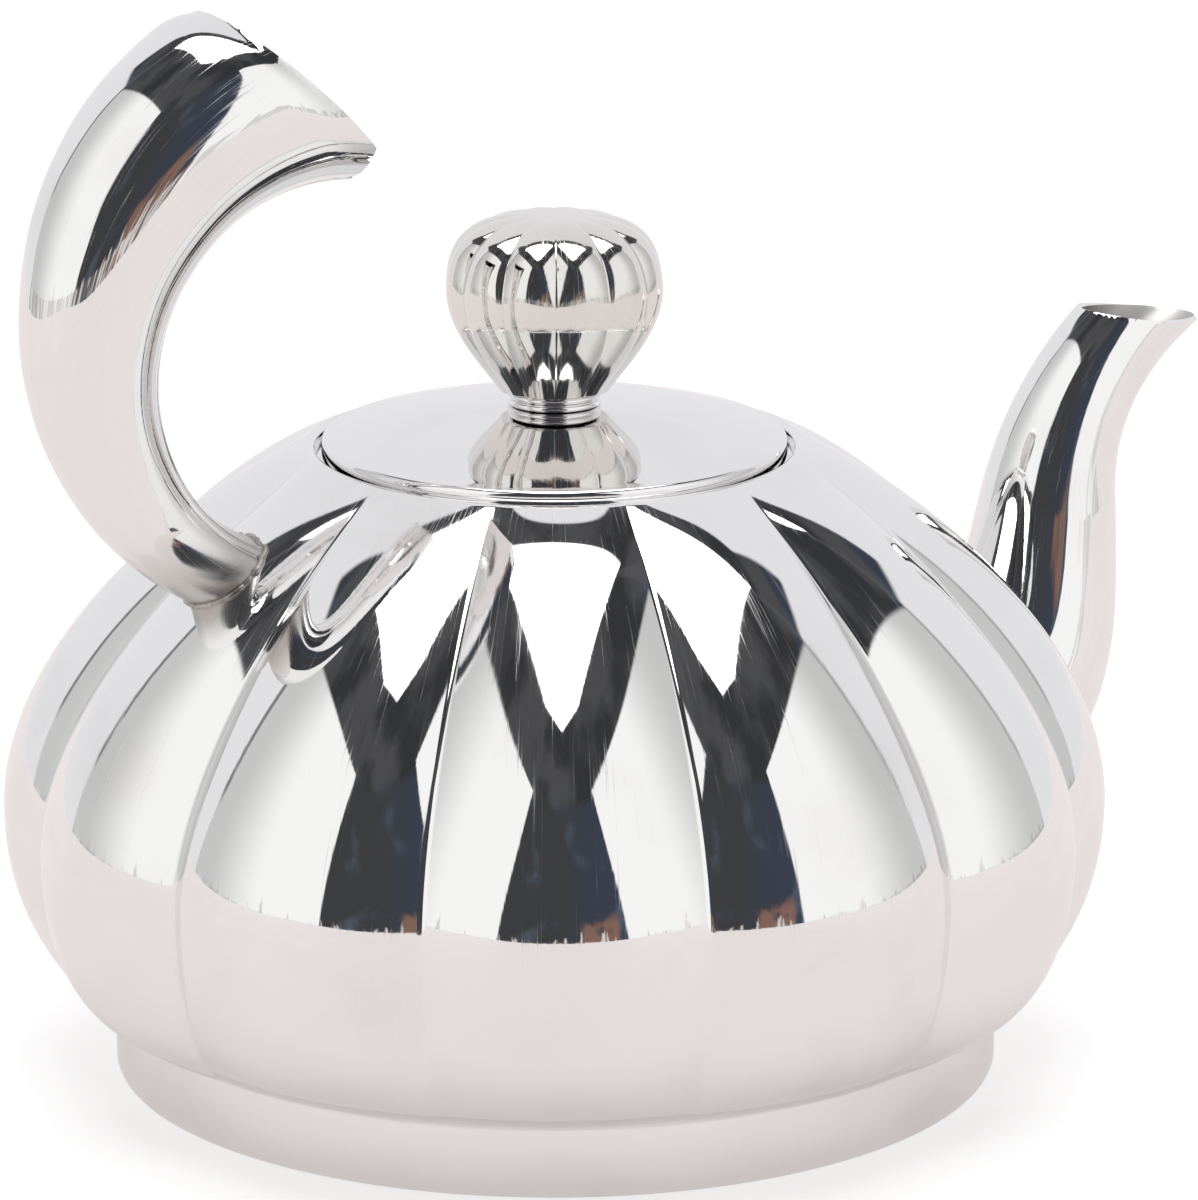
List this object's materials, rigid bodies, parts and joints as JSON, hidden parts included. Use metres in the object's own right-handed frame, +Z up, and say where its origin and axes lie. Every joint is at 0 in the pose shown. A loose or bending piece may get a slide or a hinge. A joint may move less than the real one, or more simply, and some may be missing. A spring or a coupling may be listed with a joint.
{
  "type": "kettle",
  "caption": "Polished steel stove kettle with a round lobed body, short curved spout, open horn-shaped handle and lift-off domed lid with a ribbed knob.",
  "frame": {"origin": "middle of the foot, on the surface that the kettle stands on", "axes": "+Z up, +X from the handle towards the spout"},
  "size_m": [0.2277, 0.1852, 0.1853],
  "materials": {
    "polished_steel": "mirror-polished stainless steel with fine wiping scratches",
    "satin_steel": "satin stainless steel",
    "plain_steel": "plain turned steel",
    "aluminium_core": "rolled aluminium plate, sealed in the base"
  },
  "bodies": {
    "pot": {"body_shell": "polished_steel", "base_cap": "satin_steel", "base_core": "aluminium_core", "body_floor": "satin_steel", "spout_tube": "polished_steel", "handle_outer_shell": "polished_steel", "handle_inner_strip": "polished_steel", "handle_end_cap": "polished_steel"},
    "lid": {"lid_cover": "polished_steel", "lid_skirt": "satin_steel", "knob_shell": "polished_steel", "knob_base": "plain_steel", "knob_insert": "plain_steel", "knob_collar": "polished_steel", "screw_washer": "plain_steel", "knob_screw": "plain_steel"}
  },
  "joints": [
    {"name": "lid_lift", "type": "slide", "parent": "pot", "child": "lid", "axis": [0, 0, 1], "range_m": [0, 0.06]}
  ]
}
